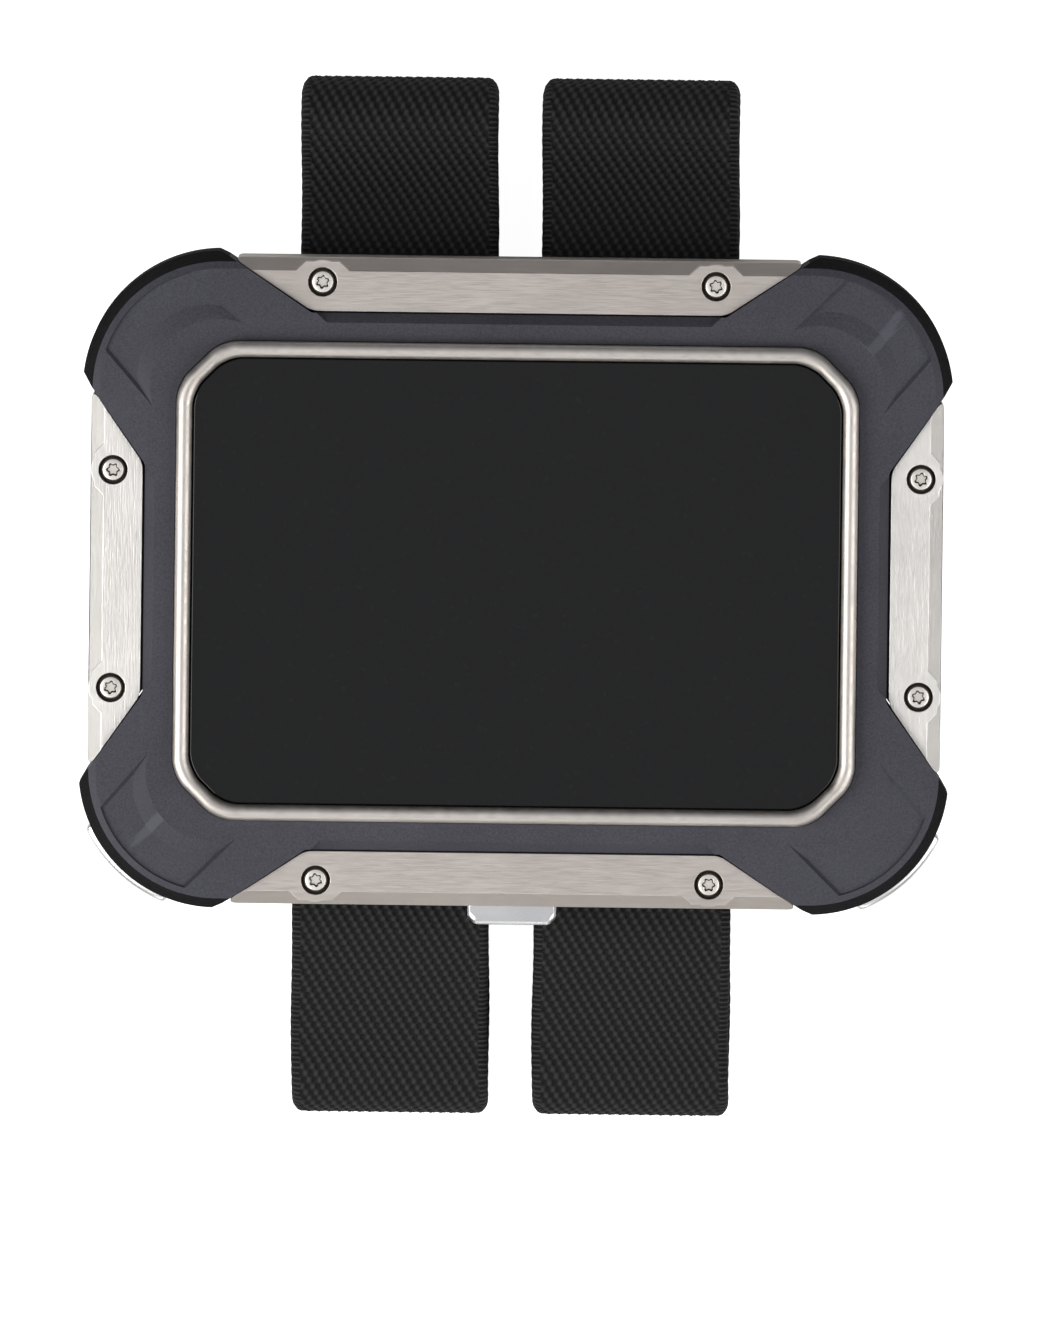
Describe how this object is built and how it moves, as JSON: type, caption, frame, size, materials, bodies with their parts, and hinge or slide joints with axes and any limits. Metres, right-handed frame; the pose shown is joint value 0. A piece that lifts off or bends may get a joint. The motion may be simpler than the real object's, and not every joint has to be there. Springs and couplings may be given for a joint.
{
  "type": "dive computer",
  "caption": "Wrist dive computer with a wide landscape display, rubber corner guard, screwed metal edge plates, push buttons and two elastic strap loops.",
  "frame": {"origin": "Middle of the bounding box in X and Y, on the surface that the two strap loops rest on.", "axes": "+Z is out of the display, +Y is towards the top edge of the display along the straps, +X is to the right of somebody reading the display."},
  "size_m": [0.11, 0.132, 0.039],
  "materials": {
    "rubber_guard": "matte bluish grey rubber, fine bead-blasted texture, grippy black side wall",
    "moulding": "matte black glass-filled nylon",
    "seal": "smooth black nitrile",
    "screw_steel": "satin stainless steel",
    "plate_titanium": "titanium, brushed lengthways, warm grey",
    "bezel_titanium": "satin titanium, half-round, warm silver",
    "button_steel": "polished stainless steel",
    "display_glass": "glossy mineral glass over a black border",
    "display_panel": "dark unlit colour display",
    "board": "green solder mask",
    "cell": "plain drawn aluminium can",
    "contact_gold": "gold plated",
    "webbing": "black woven elastic webbing, ribbed, with a rounded selvedge"
  },
  "bodies": {
    "case": {"bumper": "rubber_guard", "housing": "moulding", "rear_cover": "moulding", "rear_gasket": "seal", "rear_screw_1": "screw_steel", "rear_screw_2": "screw_steel", "rear_screw_3": "screw_steel", "rear_screw_4": "screw_steel", "bezel_ring": "bezel_titanium", "display_glass": "display_glass", "glass_gasket": "seal", "display_panel": "display_panel", "display_frame": "moulding", "display_flex": "contact_gold", "main_board": "board", "battery": "cell", "shield_can": "cell", "vibration_motor": "screw_steel", "beeper": "moulding", "depth_sensor": "screw_steel", "sensor_cap": "plate_titanium", "charge_pin_1": "contact_gold", "charge_pin_2": "contact_gold", "plate_top": "plate_titanium", "plate_left": "plate_titanium", "plate_bottom": "plate_titanium", "plate_right": "plate_titanium", "plate_screw_1": "screw_steel", "plate_screw_2": "screw_steel", "plate_screw_3": "screw_steel", "plate_screw_4": "screw_steel", "plate_screw_5": "screw_steel", "plate_screw_6": "screw_steel", "plate_screw_7": "screw_steel", "plate_screw_8": "screw_steel", "strap_bar_top": "screw_steel", "strap_bar_bottom": "screw_steel", "strap_bar_screw_top": "screw_steel", "strap_bar_screw_bottom": "screw_steel", "strap_left": "webbing", "strap_right": "webbing", "button_spring_left": "screw_steel", "button_switch_left": "moulding", "button_spring_centre": "screw_steel", "button_switch_centre": "moulding", "button_spring_right": "screw_steel", "button_switch_right": "moulding"},
    "button_left": {"button_cap_left": "button_steel", "button_seal_left": "seal", "button_clip_left": "screw_steel"},
    "button_centre": {"button_cap_centre": "button_steel", "button_seal_centre": "seal", "button_clip_centre": "screw_steel"},
    "button_right": {"button_cap_right": "button_steel", "button_seal_right": "seal", "button_clip_right": "screw_steel"}
  },
  "joints": [
    {"name": "button_press_left", "type": "slide", "parent": "case", "child": "button_left", "axis": [0.682, 0.7314, 0], "range_m": [0, 0.0007], "stiffness_N_per_m": 800, "springref_m": -0.002, "deforming": ["button_spring_left"]},
    {"name": "button_press_centre", "type": "slide", "parent": "case", "child": "button_centre", "axis": [0, 1, 0], "range_m": [0, 0.0007], "stiffness_N_per_m": 800, "springref_m": -0.002, "deforming": ["button_spring_centre"]},
    {"name": "button_press_right", "type": "slide", "parent": "case", "child": "button_right", "axis": [-0.682, 0.7314, 0], "range_m": [0, 0.0007], "stiffness_N_per_m": 800, "springref_m": -0.002, "deforming": ["button_spring_right"]}
  ]
}
